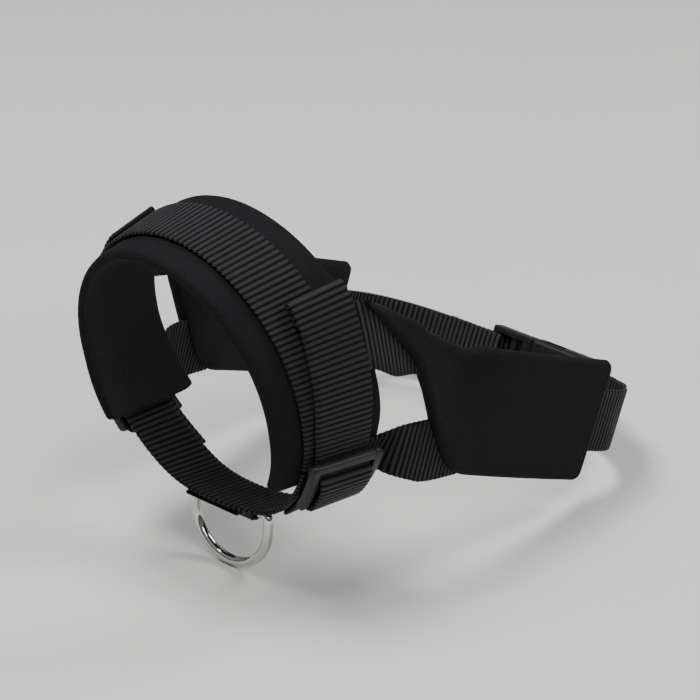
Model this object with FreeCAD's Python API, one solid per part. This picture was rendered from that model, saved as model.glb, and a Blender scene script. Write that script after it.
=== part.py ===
import FreeCAD, Part
import math
import os

# Soft loop muzzle. Millimetres, +Z up, -Y towards the nose, +X the dog's left.
# The origin is the centre of the nose loop.

os.makedirs("parts", exist_ok=True)

V = FreeCAD.Vector

# webbing and padding
web = 25.0  # webbing width
web_thick = 1.6
gap = 0.2  # between two layers of one body
pad_wide = 50.0
nose_pad_thick = 5.0
skin = 0.8  # bonded jersey on each side of the neoprene
neck_cover_thick = 2.6
neck_lining_thick = 2.2

# nose loop: an ellipse that leans back towards its lower end
loop_half_width = 52.0
loop_half_height = 60.0
loop_lean = 0.25  # rise of Y for each fall of Z
flare_top = 8.0  # degrees, the loop opens towards the dog
flare_side = 4.0
arc_start = 96.0  # degrees round the loop where the cheek becomes a true arc
arc_end = 138.0
cheek_radius = 66.0
chin_drop = 54.5  # chin strap below the origin, at its middle
pad_end = 123.0
first_web_end = 112.0

# cheek webbing and its slider
cheek_top = 50.0
cheek_top_back = 11.0  # how far the webbing stands behind the pad's middle
cheek_back = 4.0
cheek_bottom = 141.0
slider_angle = 117.0
slider_arc = 20.6
rail = 4.0
cross_bar = 3.5
slider_thick = 3.4
slider_lift = 0.4
wrap_start = 6.8  # webbing rises this far above the middle bar's centre

# D-ring
wire = 4.0
ring_inner = 32.0
ring_drop = 25.4  # bar centre to the far wire's centre
ring_corner = 2.6
ring_y = 10.0
ring_bar_z = -59.1

# neck band: a flat path that falls towards the nape
band_y = 67.0
band_z = -20.0
band_fall = 21.8  # degrees
side_half_width = 66.0
side_front_half_width = 50.0
side_front = -63.0
side_end = 99.0
side_bend = 2.6
corner = 30.0
pad_back = 88.0

# buckle, in the band's own frame: X across, Y outwards, Z up
buckle_half = 16.5
cavity_half = 13.4
mouth = 4.0
socket_back = 27.0
socket_low = -0.2
socket_high = 8.8
cavity_low = 1.7
cavity_high = 7.1
bar_x = 34.2
bar_y = 2.6
plug_back = -16.0
plug_half = 16.0
plug_low = 1.2
plug_high = 7.6
arm_reach = 17.5


def export(shape, node):
    shape.exportStep("parts/" + node + ".step")


def mirrored(shape):
    return shape.mirror(V(0, 0, 0), V(1, 0, 0))


def pair(shape, name):
    export(shape, "left_" + name)
    export(mirrored(shape), "right_" + name)


def unit(v):
    return v * (1.0 / v.Length)


def mix(a, b, k):
    return a * (1.0 - k) + b * k


def smooth(k):
    k = min(1.0, max(0.0, k))
    return k * k * (3.0 - 2.0 * k)


# ---- nose loop: each place round it has a point, a width and an outward normal


def ellipse_point(a):
    r = math.radians(a)
    z = loop_half_height * math.cos(r)
    return V(loop_half_width * math.sin(r), -loop_lean * z, z)


def ellipse_width(a):
    r = math.radians(a)
    out = unit(V(math.sin(r) / loop_half_width, 0, math.cos(r) / loop_half_height))
    flare = math.radians(flare_top + flare_side * math.sin(r) ** 2)
    return V(0, math.cos(flare), 0) + out * math.sin(flare)


def slope(point, a):
    return unit(point(a + 0.5) - point(a - 0.5))


loop_axis = unit(V(0, 1, loop_lean))
cheek_out = unit(slope(ellipse_point, arc_start).cross(loop_axis))
cheek_centre = ellipse_point(arc_start) - cheek_out * cheek_radius


def cheek_turned(v, a):
    return FreeCAD.Rotation(loop_axis, a - arc_start).multVec(v)


def lower_point(a):
    if a <= arc_end:
        return cheek_centre + cheek_turned(cheek_out * cheek_radius, a)
    start = cheek_centre + cheek_turned(cheek_out * cheek_radius, arc_end)
    ahead = unit(loop_axis.cross(start - cheek_centre))
    end = V(0, ring_y, -chin_drop)
    k = (a - arc_end) / (180.0 - arc_end)
    reach = (end - start).Length / 2.6
    p1 = start + ahead * reach
    p2 = end + V(reach, 0, 0)
    m = 1.0 - k
    return start * m**3 + p1 * (3 * m * m * k) + p2 * (3 * m * k * k) + end * k**3


def loop_point(a):
    if a <= arc_start:
        return ellipse_point(a)
    return lower_point(a)


def loop_width(a):
    if a <= arc_start:
        return ellipse_width(a)
    at_cheek = cheek_turned(ellipse_width(arc_start), min(a, arc_end))
    if a <= arc_end:
        return at_cheek
    k = smooth((a - arc_end) / (180.0 - arc_end))
    tilt = math.radians(flare_top)
    return unit(mix(at_cheek, V(0, math.cos(tilt), -math.sin(tilt)), k))


def loop_place(a):
    # a runs from 0 at the top to 180 at the chin, down the left side, and on up the right one
    flip = a < 0 or a > 180.0
    b = min(abs(a), 360.0 - a) if a > 180.0 else abs(a)
    p = loop_point(b)
    w = loop_width(b)
    if b == 0.0:
        along = V(1, 0, 0)
    elif b >= 180.0:
        along = V(-1, 0, 0)
    else:
        along = unit(loop_point(b + 0.25) - loop_point(b - 0.25))
    n = unit(along.cross(w))
    if flip:
        return [V(-v.x, v.y, v.z) for v in (p, w, n)]
    return [p, w, n]


# ---- a band is a loft through flat sections


def spread(low, high, step):
    count = max(2, int(math.ceil((high - low) / step)))
    return [low + (high - low) * i / count for i in range(count + 1)]


def section(place, w_low, w_high, n_low, n_high):
    p, w, n = place
    corners = [(w_low, n_low), (w_high, n_low), (w_high, n_high), (w_low, n_high)]
    return Part.makePolygon([p + w * i + n * j for i, j in corners + corners[:1]])


def band(places, w_low, w_high, n_low, n_high):
    sections = [section(place, w_low, w_high, n_low, n_high) for place in places]
    return Part.makeLoft(sections, True, False)


def tapered(rows, n_low, n_high):
    # rows: (place, low edge, high edge)
    sections = [section(place, low, high, n_low, n_high) for place, low, high in rows]
    return Part.makeLoft(sections, True, True)


def loop_band(low, high, w_low, w_high, n_low, n_high, step=8.0):
    return band([loop_place(a) for a in spread(low, high, step)], w_low, w_high, n_low, n_high)


first = gap / 2.0
second = first + web_thick + gap
third = second + web_thick + slider_lift


def nose_pad():
    half = pad_wide / 2.0
    inner = -nose_pad_thick
    export(loop_band(-pad_end, pad_end, -half, half, -skin, 0), "nose_pad_cover")
    export(loop_band(-pad_end, pad_end, -half, half, inner + skin, -skin), "nose_pad_core")
    export(loop_band(-pad_end, pad_end, -half, half, inner, inner + skin), "nose_pad_lining")


def nose_webbing():
    half = web / 2.0
    export(loop_band(-first_web_end, first_web_end, -half, half, first, first + web_thick), "nose_webbing")


def cheek_shift(a):
    k = min(1.0, max(0.0, (a - cheek_top) / (arc_start - cheek_top)))
    return cheek_top_back + (cheek_back - cheek_top_back) * k


def cheek_place(a):
    p, w, n = loop_place(a)
    return [p + w * cheek_shift(a), w, n]


def cheek_webbing():
    half = web / 2.0
    places = [cheek_place(a) for a in spread(cheek_top, cheek_bottom, 7.0)]
    pair(band(places, -half, half, second, second + web_thick), "cheek_webbing")


def chin_strap():
    half = web / 2.0
    low = first_web_end + 1.0
    export(loop_band(low, 360.0 - low, -half, half, first, first + web_thick, 6.0), "chin_strap")


def slider_piece(turn_low, turn_high, w_low, w_high, n_low, n_high):
    places = [cheek_place(a) for a in spread(turn_low, turn_high, 6.0)]
    return band(places, w_low, w_high, n_low, n_high)


def cheek_slider():
    half = web / 2.0 + 0.6
    outer = half + rail
    low = slider_angle - slider_arc / 2.0
    high = slider_angle + slider_arc / 2.0
    degree = math.degrees(1.0 / (cheek_radius + third))
    top = third + slider_thick
    side_rails = [slider_piece(low, high, half, outer, third, top)]
    side_rails.append(slider_piece(low, high, -outer, -half, third, top))
    bars = [slider_piece(low, low + rail * degree, -outer, outer, third, top)]
    bars.append(slider_piece(high - rail * degree, high, -outer, outer, third, top))
    reach = cross_bar * degree / 2.0
    bars.append(slider_piece(slider_angle - reach, slider_angle + reach, -outer, outer, third, top))
    body = side_rails[0].multiFuse(side_rails[1:] + bars)
    pair(body.removeSplitter(), "cheek_slider")
    # the webbing comes up through the upper slot, runs over the middle and lower bars and turns under
    edge = web / 2.0
    leg = web_thick * degree
    rise = slider_angle - wrap_start * degree
    fall = high + 0.3 * degree
    wrap = [slider_piece(rise, fall + leg, -edge, edge, top + 0.25, top + 0.25 + web_thick)]
    wrap.append(slider_piece(rise, rise + leg, -edge, edge, third, top + 1.0))
    wrap.append(slider_piece(fall, fall + leg, -edge, edge, third, top + 1.0))
    pair(wrap[0].multiFuse(wrap[1:]).removeSplitter(), "slider_wrap")


# ---- D-ring and the loop of webbing that holds it


def ring():
    half = (ring_inner + wire) / 2.0
    c = ring_corner
    bow_z = ring_bar_z - ring_drop + half
    middle = V(0, ring_y, ring_bar_z)
    bar_end = V(half - c, ring_y, ring_bar_z)
    turn = c * (1.0 - math.sqrt(0.5))
    knee = V(half - turn, ring_y, ring_bar_z - turn)
    leg_top = V(half, ring_y, ring_bar_z - c)
    leg_foot = V(half, ring_y, bow_z)
    lean = half * math.sqrt(0.5)
    bow = V(lean, ring_y, bow_z - lean)
    foot = V(0, ring_y, ring_bar_z - ring_drop)
    edges = [Part.LineSegment(middle, bar_end).toShape()]
    edges.append(Part.Arc(bar_end, knee, leg_top).toShape())
    edges.append(Part.LineSegment(leg_top, leg_foot).toShape())
    edges.append(Part.Arc(leg_foot, bow, foot).toShape())
    disc = Part.Wire([Part.makeCircle(wire / 2.0, middle, V(1, 0, 0))])
    left = Part.Wire(edges).makePipeShell([disc], True, False)
    return left.fuse(mirrored(left)).removeSplitter()


def ring_keeper():
    # a strip of webbing that runs under the bar and is sewn to the chin strap at both ends
    half = web / 2.0
    under = wire / 2.0 + 0.3
    tube = Part.makeCylinder(under + web_thick, web, V(-half, ring_y, ring_bar_z), V(1, 0, 0))
    hole = Part.makeCylinder(under, web, V(-half, ring_y, ring_bar_z), V(1, 0, 0))
    ceiling = -chin_drop - web_thick - 2.0 * gap
    roof = Part.makeBox(web, 2.0 * web, web, V(-half, ring_y - web, ceiling))
    tube = tube.cut(hole).cut(roof)
    tabs = []
    for side in (-1.0, 1.0):
        reach = half - under - 0.6
        start = ring_y + side * (under + 0.4)
        y_low = min(start, start + side * reach)
        tab = Part.makeBox(web, reach, web_thick, V(-half, y_low, ceiling - web_thick))
        tilt = FreeCAD.Rotation(V(1, 0, 0), -flare_top)
        tab.Placement = FreeCAD.Placement(V(0, 0, 0), tilt, V(0, ring_y, ceiling))
        tabs.append(tab)
    return tube.multiFuse(tabs)


# ---- neck band, in its own frame: X across, Y along the side, Z across the webbing

band_place = FreeCAD.Placement(V(0, band_y, band_z), FreeCAD.Rotation(V(1, 0, 0), -band_fall))
nape_y = side_end + corner
nape_half = side_half_width - corner
corner_length = corner * math.pi / 2.0


def neck_point(q):
    # q is the length along the band, from the front of the side to the nape
    if q <= side_end:
        k = (side_end - q) / (side_end - side_front)
        x = side_half_width - (side_half_width - side_front_half_width) * k**side_bend
        return V(x, q, 0)
    if q <= side_end + corner_length:
        turn = (q - side_end) / corner
        x = side_half_width - corner * (1.0 - math.cos(turn))
        return V(x, side_end + corner * math.sin(turn), 0)
    return V(nape_half - (q - side_end - corner_length), nape_y, 0)


def neck_place(q, lean=0.0):
    p = neck_point(q)
    along = unit(neck_point(q + 0.2) - neck_point(q - 0.2))
    up = FreeCAD.Rotation(along, -lean).multVec(V(0, 0, 1))
    n = unit(along.cross(up))
    return [band_place.multVec(p)] + [band_place.Rotation.multVec(v) for v in (up, n)]


def free_place(p, up, ahead):
    up = unit(up)
    n = unit(ahead.cross(up))
    return [p, up, n]


# ---- side straps, from under the cheek webbing to inside the neck pad

strap_mid = web_thick / 2.0
upper_angle = 68.0
lower_angle = 113.0
strap_tuck = 12.8  # the strap starts here on the pad, beside the first layer of webbing
strap_leave = 25.1  # and leaves the pad here


def strap_start(angle):
    p, w, n = loop_place(angle)
    up = unit(w.cross(n))
    up = up if up.z > 0 else up * -1.0
    return [p + w * strap_leave + n * (first + strap_mid), up, unit(w.cross(up))]


def strap_root(angle, half):
    # the part of a side strap that lies on the curved pad
    speed = (loop_point(angle + 1.0) - loop_point(angle - 1.0)).Length / 2.0
    reach = half / speed
    return loop_band(angle - reach, angle + reach, strap_tuck, strap_leave + 0.3, first, first + web_thick, 4.0)


def upper_strap_places():
    places = [strap_start(upper_angle)]
    places.append(free_place(V(56.2, 33.0, 16.8), V(-0.40, 0.25, 0.88), V(0.22, 0.88, -0.42)))
    places.append(free_place(V(59.0, 45.0, 9.6), V(-0.26, 0.38, 0.88), V(0.18, 0.86, -0.48)))
    return places


def lower_strap_places():
    places = [strap_start(lower_angle)]
    places.append(free_place(V(57.6, 36.0, -26.6), V(0.10, 0.22, 0.97), V(0.14, 0.95, -0.26)))
    places.append(free_place(V(61.0, 50.0, -30.4), V(0.00, 0.30, 0.95), V(0.12, 0.94, -0.30)))
    return places


def shifted(place, along_width):
    p, up, n = place
    return [p + up * along_width, up, n]


def side_straps():
    half = web / 2.0
    rows = [(place, -half, half) for place in upper_strap_places()]
    free = tapered(rows, -strap_mid, strap_mid)
    pair(free.fuse(strap_root(upper_angle, half)).removeSplitter(), "upper_side_strap")
    lower = lower_strap_places() + [shifted(neck_place(7.0, 0.8), -12.2)]
    rows = [(place, -half + 0.3, half - 0.3) for place in lower]
    free = tapered(rows, -strap_mid, strap_mid)
    pair(free.fuse(strap_root(lower_angle, half - 0.3)).removeSplitter(), "lower_side_strap")


def neck_pads():
    upper = upper_strap_places()
    half = pad_wide / 2.0
    rows = [
        (upper[0], 11.6, 14.0),
        (upper[1], 0.5, 14.5),
        (upper[2], -10.5, 15.0),
        (neck_place(-9.0, 6.0), -15.0, half + 0.4),
        (neck_place(3.0, 2.0), -23.5, half),
        (neck_place(10.0), -half, half),
    ]
    rows += [(neck_place(q), -half, half) for q in spread(10.0, pad_back, 13.0)[1:]]
    low = strap_mid + 2.0 * gap
    pair(tapered(rows, low, low + neck_cover_thick), "neck_pad_cover")
    lining = [(rows[1][0], 4.0, 14.0), (rows[2][0], -5.0, 14.5), (rows[3][0], -4.0, half)]
    lining += [(rows[4][0], -14.0, half)] + rows[5:]
    pair(tapered(lining, -low - neck_lining_thick, -low), "neck_pad_lining")


def neck_straps():
    half = web / 2.0
    start = 12.0
    nape_start = side_end + corner_length
    left_end = nape_start + nape_half - bar_x + 0.6
    right_end = nape_start + nape_half + plug_back + 6.0
    left = band([neck_place(q) for q in spread(start, left_end, 3.0)], -half, half, -strap_mid, strap_mid)
    right = band([neck_place(q) for q in spread(start, right_end, 3.0)], -half, half, -strap_mid, strap_mid)
    export(left, "left_neck_strap")
    export(mirrored(right), "right_neck_strap")


# ---- buckle


def block(x0, x1, y0, y1, z0, z1, radius=0.0, along=None):
    solid = Part.makeBox(x1 - x0, y1 - y0, z1 - z0, V(x0, y0, z0))
    if not radius:
        return solid
    edges = []
    for edge in solid.Edges:
        run = edge.Vertexes[1].Point - edge.Vertexes[0].Point
        if along is None or abs(unit(run).dot(along)) > 0.99:
            edges.append(edge)
    return solid.makeFillet(radius, edges)


def at_nape(shape):
    moved = shape.copy()
    moved.translate(V(0, nape_y, 0))
    moved.Placement = band_place.multiply(moved.Placement)
    return moved


def buckle_socket():
    end = bar_x + 1.8
    shell = block(mouth, end, socket_low, socket_high, -buckle_half, buckle_half, 2.4)
    cavity = block(mouth - 1.0, 23.0, cavity_low, cavity_high, -cavity_half, cavity_half, 1.0, V(1, 0, 0))
    window = block(9.0, 19.4, cavity_low, cavity_high, -buckle_half - 1.0, buckle_half + 1.0)
    relief = block(mouth - 1.0, mouth + 2.2, cavity_low, cavity_high, -14.6, 14.6)
    web_room = web / 2.0 + 0.6
    slot = block(socket_back, bar_x - 1.9, socket_low - 1.0, socket_high + 1.0, -web_room, web_room, 1.2, V(0, 1, 0))
    above = block(bar_x - 2.0, end + 1.0, bar_y + 1.3, socket_high + 1.0, -web_room, web_room)
    below = block(bar_x - 2.0, end + 1.0, socket_low - 1.0, bar_y - 1.3, -web_room, web_room)
    body = shell.cut(cavity).cut(window).cut(relief).cut(slot).cut(above).cut(below)
    export(at_nape(body), "buckle_socket")


def plug_body():
    root = block(-1.0, mouth - 0.3, plug_low + 0.6, plug_high - 0.6, -plug_half, plug_half, 0.8)
    web_room = web / 2.0 + 0.6
    cheeks = []
    for side in (-1.0, 1.0):
        z0 = min(side * web_room, side * plug_half)
        z1 = max(side * web_room, side * plug_half)
        cheeks.append(block(plug_back, mouth - 0.3, plug_low, plug_high, z0, z1, 0.8))
    middle = block(-7.4, -4.2, 3.2, 6.0, -web_room - 0.5, web_room + 0.5, 0.8, V(0, 0, 1))
    rear = block(plug_back, plug_back + 3.2, plug_low, 4.4, -web_room - 0.5, web_room + 0.5, 0.8, V(0, 0, 1))
    guide = block(mouth - 1.0, mouth + 13.0, 3.0, 5.9, -2.0, 2.0, 0.8)
    return root.multiFuse(cheeks + [middle, rear, guide]).removeSplitter()


def prong(side):
    arm = block(mouth, mouth + arm_reach, 2.3, 6.5, 9.4, 11.8, 0.6)
    pad = block(mouth + 5.6, mouth + 14.6, 2.3, 6.5, 10.6, 15.6, 1.0)
    nose = block(mouth + 13.0, mouth + arm_reach + 0.6, 2.3, 6.5, 9.0, 12.4, 1.0)
    whole = arm.fuse(pad).fuse(nose)
    if side < 0:
        return whole.mirror(V(0, 0, 0), V(0, 0, 1))
    return whole


def strip(path, low, high):
    # webbing that follows a path in the band's XY plane
    places = []
    for i, (x, y) in enumerate(path):
        before = path[max(0, i - 1)]
        after = path[min(len(path) - 1, i + 1)]
        along = unit(V(after[0] - before[0], after[1] - before[1], 0))
        places.append([V(x, y, 0), V(0, 0, 1), along.cross(V(0, 0, 1))])
    return band(places, low, high, -strap_mid, strap_mid)


def strap_fold():
    # the left strap's end comes back over the socket's bar and is sewn down
    half = web / 2.0
    reach = 2.6
    turn_x = bar_x - 0.8
    path = []
    for step in range(1, 7):
        angle = math.radians(-90.0 - 30.0 * step)
        path.append((turn_x + reach * math.cos(angle), bar_y + reach * math.sin(angle)))
    path.append((bar_x + 3.0, 4.9))
    path.append((bar_x + 7.3, 3.1))
    path.append((bar_x + 11.8, 1.2))
    back = corner + web_thick + 2.0 * gap
    for angle in (24.0, 31.0, 38.0):
        turn = math.radians(angle)
        path.append((nape_half + back * math.sin(turn), back * math.cos(turn) - corner))
    return strip(path, -half, half)


def plug_wrap():
    half = web / 2.0
    path = [
        (-2.3, 1.9),
        (-2.3, 3.6),
        (-2.4, 5.4),
        (-3.3, 6.9),
        (-5.4, 7.3),
        (-8.4, 7.0),
        (-12.4, 6.1),
        (-16.4, 4.8),
        (-19.6, 3.4),
        (-23.0, 2.6),
        (-26.0, 2.4),
        (-32.0, 2.4),
        (-38.0, 2.4),
    ]
    return strip(path, -half, half)


def buckle():
    buckle_socket()
    export(at_nape(plug_body()), "buckle_plug")
    export(at_nape(prong(1.0)), "buckle_upper_prong")
    export(at_nape(prong(-1.0)), "buckle_lower_prong")
    export(at_nape(strap_fold()), "left_strap_fold")
    export(at_nape(plug_wrap()), "plug_wrap")


nose_pad()
nose_webbing()
cheek_webbing()
chin_strap()
cheek_slider()
export(ring(), "d_ring")
export(ring_keeper(), "d_ring_keeper")
side_straps()
neck_pads()
neck_straps()
buckle()
print("slider hinge axis", loop_axis, "centre", cheek_centre)
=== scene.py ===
import math
import bpy
import numpy as np
from mathutils import Matrix, Vector


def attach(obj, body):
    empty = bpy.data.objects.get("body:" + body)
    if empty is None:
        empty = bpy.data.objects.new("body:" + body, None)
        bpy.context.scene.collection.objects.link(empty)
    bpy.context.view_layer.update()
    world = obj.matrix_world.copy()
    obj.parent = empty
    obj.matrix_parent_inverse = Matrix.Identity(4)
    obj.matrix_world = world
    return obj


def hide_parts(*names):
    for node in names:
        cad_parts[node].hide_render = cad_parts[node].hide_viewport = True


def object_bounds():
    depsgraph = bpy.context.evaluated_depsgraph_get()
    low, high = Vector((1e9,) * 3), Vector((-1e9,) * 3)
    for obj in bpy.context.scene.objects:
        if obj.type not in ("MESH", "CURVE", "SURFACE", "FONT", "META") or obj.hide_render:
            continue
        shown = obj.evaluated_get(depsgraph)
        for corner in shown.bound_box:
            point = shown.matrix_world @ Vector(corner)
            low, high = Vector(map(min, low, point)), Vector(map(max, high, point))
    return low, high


# Soft loop muzzle: webbing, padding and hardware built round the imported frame, in metres

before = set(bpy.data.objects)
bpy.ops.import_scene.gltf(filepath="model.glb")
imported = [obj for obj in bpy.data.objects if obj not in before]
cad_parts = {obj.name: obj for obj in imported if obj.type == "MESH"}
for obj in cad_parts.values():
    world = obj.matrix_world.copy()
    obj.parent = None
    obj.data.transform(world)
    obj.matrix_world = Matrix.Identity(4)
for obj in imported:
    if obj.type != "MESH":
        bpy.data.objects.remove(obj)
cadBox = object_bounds()
mm = 0.001


# paths: each place along a strap is a point, a width direction and an outward normal

loop = {
    "halfWidth": 52 * mm,
    "halfHeight": 60 * mm,
    "lean": 0.25,
    "flareTop": 8.0,
    "flareSide": 4.0,
    "arcStart": 96.0,
    "arcEnd": 138.0,
    "cheekRadius": 66 * mm,
    "chinDrop": 54.5 * mm,
    "chinY": 10 * mm,
}

neck = {
    "place": Vector((0, 67 * mm, -20 * mm)),
    "fall": 21.8,
    "sideHalf": 66 * mm,
    "frontHalf": 50 * mm,
    "front": -63 * mm,
    "sideEnd": 99 * mm,
    "bend": 2.6,
    "corner": 30 * mm,
}

webbing = {
    "wide": 25 * mm,
    "thick": 1.6 * mm,
    "gap": 0.2 * mm,
    "pitch": 2.3 * mm,
    "ribHeight": 0.78 * mm,
    "wobble": 0.22 * mm,
    "stepsPerRib": 10,
    "flatPoints": 10,
    "edgePoints": 4,
    "faceCrown": 0.62,  # share of the rib's height on the two faces
    "edgeCrown": 0.5,
}
firstLayer = webbing["gap"] / 2 + webbing["thick"] / 2
secondLayer = firstLayer + webbing["thick"] + webbing["gap"]
sliderBase = secondLayer + webbing["thick"] / 2 + 0.4 * mm


def ellipsePoint(a):
    r = math.radians(a)
    z = loop["halfHeight"] * math.cos(r)
    return Vector((loop["halfWidth"] * math.sin(r), -loop["lean"] * z, z))


def ellipseWidth(a):
    r = math.radians(a)
    out = Vector((math.sin(r) / loop["halfWidth"], 0, math.cos(r) / loop["halfHeight"])).normalized()
    flare = math.radians(loop["flareTop"] + loop["flareSide"] * math.sin(r) ** 2)
    return Vector((0, math.cos(flare), 0)) + out * math.sin(flare)


loopAxis = Vector((0, 1, loop["lean"])).normalized()
cheekAlong = (ellipsePoint(loop["arcStart"] + 0.5) - ellipsePoint(loop["arcStart"] - 0.5)).normalized()
cheekOut = cheekAlong.cross(loopAxis).normalized()
cheekCentre = ellipsePoint(loop["arcStart"]) - cheekOut * loop["cheekRadius"]


def cheekTurned(v, a):
    return Matrix.Rotation(math.radians(a - loop["arcStart"]), 3, loopAxis) @ v


def loopPoint(a):
    if a <= loop["arcStart"]:
        return ellipsePoint(a)
    arm = cheekOut * loop["cheekRadius"]
    if a <= loop["arcEnd"]:
        return cheekCentre + cheekTurned(arm, a)
    start = cheekCentre + cheekTurned(arm, loop["arcEnd"])
    ahead = loopAxis.cross(start - cheekCentre).normalized()
    end = Vector((0, loop["chinY"], -loop["chinDrop"]))
    k = (a - loop["arcEnd"]) / (180 - loop["arcEnd"])
    reach = (end - start).length / 2.6
    p1 = start + ahead * reach
    p2 = end + Vector((reach, 0, 0))
    m = 1 - k
    return start * m**3 + p1 * (3 * m * m * k) + p2 * (3 * m * k * k) + end * k**3


def loopWidth(a):
    if a <= loop["arcStart"]:
        return ellipseWidth(a)
    atCheek = cheekTurned(ellipseWidth(loop["arcStart"]), min(a, loop["arcEnd"]))
    if a <= loop["arcEnd"]:
        return atCheek
    k = (a - loop["arcEnd"]) / (180 - loop["arcEnd"])
    k = k * k * (3 - 2 * k)
    tilt = math.radians(loop["flareTop"])
    return atCheek.lerp(Vector((0, math.cos(tilt), -math.sin(tilt))), k).normalized()


def loopPlace(a):
    # a runs from 0 at the top, down the left side to 180 at the chin, and on up the right side
    b = 360 - a if a > 180 else abs(a)
    p = loopPoint(b)
    w = loopWidth(b)
    along = Vector((1, 0, 0)) if b < 0.3 else loopPoint(min(180, b + 0.25)) - loopPoint(b - 0.25)
    n = along.cross(w).normalized()
    if a < 0 or a > 180:
        return [Vector((-v.x, v.y, v.z)) for v in (p, w, n)]
    return [p, w, n]


neckTurn = Matrix.Rotation(math.radians(-neck["fall"]), 3, "X")
napeY = neck["sideEnd"] + neck["corner"]
napeHalf = neck["sideHalf"] - neck["corner"]
napeStart = neck["sideEnd"] + neck["corner"] * math.pi / 2


def fromBand(v):
    return neck["place"] + neckTurn @ Vector(v)


def neckPoint(q):
    if q <= neck["sideEnd"]:
        k = (neck["sideEnd"] - q) / (neck["sideEnd"] - neck["front"])
        return Vector((neck["sideHalf"] - (neck["sideHalf"] - neck["frontHalf"]) * k ** neck["bend"], q, 0))
    if q <= napeStart:
        turn = (q - neck["sideEnd"]) / neck["corner"]
        arm = Vector((math.cos(turn), math.sin(turn), 0)) * neck["corner"]
        return Vector((napeHalf, neck["sideEnd"], 0)) + arm
    return Vector((napeHalf - (q - napeStart), napeY, 0))


def neckPlace(q, lean=0.0):
    p = neckPoint(q)
    along = (neckPoint(q + 0.2 * mm) - neckPoint(q - 0.2 * mm)).normalized()
    up = Matrix.Rotation(math.radians(-lean), 3, along) @ Vector((0, 0, 1))
    n = along.cross(up).normalized()
    return [fromBand(p), neckTurn @ up, neckTurn @ n]


def freePlace(p, up, ahead):
    up = Vector(up).normalized()
    return [Vector(p) * mm, up, Vector(ahead).cross(up).normalized()]


def shifted(place, across, out=0.0):
    p, w, n = place
    return [p + w * across + n * out, w, n]


def spread(low, high, count):
    return [low + (high - low) * i / (count - 1) for i in range(count)]


def resampled(places, step, smooth=True):
    # even steps along a smooth line through the places
    rows = np.array([[*p, *w, *n] for p, w, n in places])
    ends = np.vstack([2 * rows[0] - rows[1], rows, 2 * rows[-1] - rows[-2]])
    fine = []
    for i in range(len(rows) - 1):
        a, b, c, d = ends[i], ends[i + 1], ends[i + 2], ends[i + 3]
        for t in np.linspace(0, 1, 24, endpoint=False):
            if smooth:
                square = (2 * a - 5 * b + 4 * c - d) * t**2
                cube = (3 * b - a - 3 * c + d) * t**3
                fine.append(0.5 * (2 * b + (c - a) * t + square + cube))
            else:
                fine.append(b + (c - b) * t)
    fine.append(rows[-1])
    fine = np.array(fine)
    run = np.concatenate([[0], np.cumsum(np.linalg.norm(np.diff(fine[:, :3], axis=0), axis=1))])
    count = max(2, int(round(run[-1] / step)) + 1)
    at = np.linspace(0, run[-1], count)
    out = np.array([np.interp(at, run, fine[:, k]) for k in range(9)]).T
    p, w, n = out[:, :3], out[:, 3:6], out[:, 6:]
    w = w / np.linalg.norm(w, axis=1)[:, None]
    n = n - w * np.sum(n * w, axis=1)[:, None]
    n = n / np.linalg.norm(n, axis=1)[:, None]
    return p, w, n, at


def mirroredPlaces(places):
    return [[Vector((-v.x, v.y, v.z)) for v in place] for place in places]


# one wrapper for a socket, used by the materials and by the geometry nodes


class Wire:
    def __init__(self, tree, socket):
        self.tree = tree
        self.socket = socket

    @staticmethod
    def node(tree, kind, settings=None, sockets=None, out=0):
        made = tree.nodes.new(kind)
        for name, value in (settings or {}).items():
            if name == "stops":
                ramp = made.color_ramp
                while len(ramp.elements) < len(value):
                    ramp.elements.new(1.0)
                for element, (place, shade) in zip(ramp.elements, value):
                    element.position = place
                    element.color = shade
            else:
                setattr(made, name, value)
        for key, value in (sockets or {}).items():
            if isinstance(value, Wire):
                tree.links.new(value.socket, made.inputs[key])
            else:
                made.inputs[key].default_value = value
        return Wire(tree, made.outputs[out])

    def math(self, operation, *others):
        sockets = {0: self}
        for i, other in enumerate(others):
            sockets[i + 1] = other
        return Wire.node(self.tree, "ShaderNodeMath", {"operation": operation}, sockets)

    def __add__(self, other):
        return self.math("ADD", other)

    def __sub__(self, other):
        return self.math("SUBTRACT", other)

    def __mul__(self, other):
        return self.math("MULTIPLY", other)

    def __truediv__(self, other):
        return self.math("DIVIDE", other)

    def __pow__(self, other):
        return self.math("POWER", other)

    __radd__ = __add__
    __rmul__ = __mul__

    def __rsub__(self, other):
        return Wire.node(self.tree, "ShaderNodeMath", {"operation": "SUBTRACT"}, {0: other, 1: self})

    def part(self, name):
        # another output of the same node
        return Wire(self.tree, self.socket.node.outputs[name])

    def into(self, socket):
        self.tree.links.new(self.socket, socket)


def blended(tree, k, a, b):
    return Wire.node(tree, "ShaderNodeMix", {"data_type": "RGBA"}, {0: k, 6: a, 7: b}, 2)


def newMaterial(name, constants):
    made = bpy.data.materials.new(name)
    made.use_nodes = True
    shader = made.node_tree.nodes["Principled BSDF"]
    for key, value in constants.items():
        shader.inputs[key].default_value = value
    return made, made.node_tree, shader


def bumped(tree, shader, height, distance, strength=1.0):
    normal = Wire.node(tree, "ShaderNodeBump", {},
                       {"Strength": strength, "Distance": distance, "Height": height})
    normal.into(shader.inputs["Normal"])


def objectNoise(tree, scale, detail=3.0):
    place = Wire.node(tree, "ShaderNodeTexCoord").part("Object")
    return Wire.node(tree, "ShaderNodeTexNoise", {}, {"Vector": place, "Scale": scale, "Detail": detail})


# painted light on the black webbing: the groove colour is painted shade for the hollows between ribs, and
# the rib colour is a painted highlight along the rib tops
webbingLook = {
    "grooveShade": (0.0003, 0.0003, 0.0004, 1),
    "rib": (0.062, 0.062, 0.067, 1),
    "dustyHighlight": (0.050, 0.050, 0.052, 1),
    "twist": 0.62 * mm,
    "slant": 0.55,
}


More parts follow.
